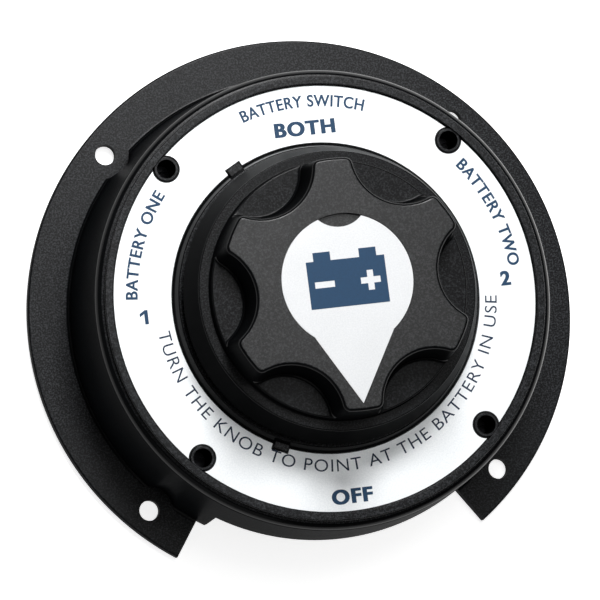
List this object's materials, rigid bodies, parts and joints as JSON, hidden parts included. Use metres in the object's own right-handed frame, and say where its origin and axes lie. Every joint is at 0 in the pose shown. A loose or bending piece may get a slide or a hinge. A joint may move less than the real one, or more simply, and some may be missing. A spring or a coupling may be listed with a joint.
{
  "type": "battery switch",
  "caption": "Round marine battery selector switch: horseshoe flange, drum case, silver dial and a lobed pointer knob that turns through off, one, both and two.",
  "frame": {"origin": "centre of the mounting-hole circle on the back mounting face", "axes": "+Z out of the bulkhead along the knob's axis, -Y towards the cable exit, where the pointer stands at off, +Y towards both"},
  "size_m": [0.14, 0.1284, 0.0628],
  "materials": {
    "black_plastic": "fine spark-eroded texture, moulded glass-filled nylon",
    "knob_plastic": "fine spark-eroded texture, slightly glossier than the case",
    "dial_metal": "satin, anodised, printed legend",
    "pointer_metal": "satin silver film",
    "base_plastic": "moulded, smooth",
    "gasket_rubber": "closed-cell gasket",
    "seal_rubber": "O-ring",
    "copper": "tinned copper, lightly brushed",
    "stud_metal": "tin-plated stud",
    "nut_metal": "plated nut",
    "steel": "stainless steel",
    "spring_steel": "spring steel",
    "black_steel": "black oxide steel",
    "rotor_plastic": "natural acetal"
  },
  "bodies": {
    "housing": {"case": "black_plastic", "dial_plate": "dial_metal", "contact_base": "base_plastic", "base_gasket": "gasket_rubber", "case_screws": "black_steel", "battery_1_contact": "copper", "battery_2_contact": "copper", "common_contact": "copper", "battery_1_stud": "stud_metal", "battery_2_stud": "stud_metal", "common_stud": "stud_metal", "stud_washers": "nut_metal", "base_nuts": "nut_metal", "lock_washers": "steel", "terminal_nuts": "nut_metal", "shaft_seal": "seal_rubber", "detent_spring_left": "spring_steel", "detent_spring_right": "spring_steel"},
    "knob_and_rotor": {"knob": "knob_plastic", "pointer_plate": "pointer_metal", "knob_screw": "steel", "knob_washer": "steel", "spindle": "steel", "rotor": "rotor_plastic", "retaining_clip": "spring_steel", "contact_springs": "spring_steel"},
    "contact_bar": {"contact_bridge": "copper"}
  },
  "joints": [
    {"name": "knob_turn", "type": "hinge", "parent": "housing", "child": "knob_and_rotor", "pos_m": [0, 0, 0], "axis": [0, 0, 1], "continuous": true, "deforming": ["detent_spring_left", "detent_spring_right"]},
    {"name": "contact_float", "type": "slide", "parent": "knob_and_rotor", "child": "contact_bar", "axis": [0, 0, 1], "range_m": [0, 0.0006], "stiffness_N_per_m": 2000, "springref_m": -0.001, "deforming": ["contact_springs"]}
  ]
}
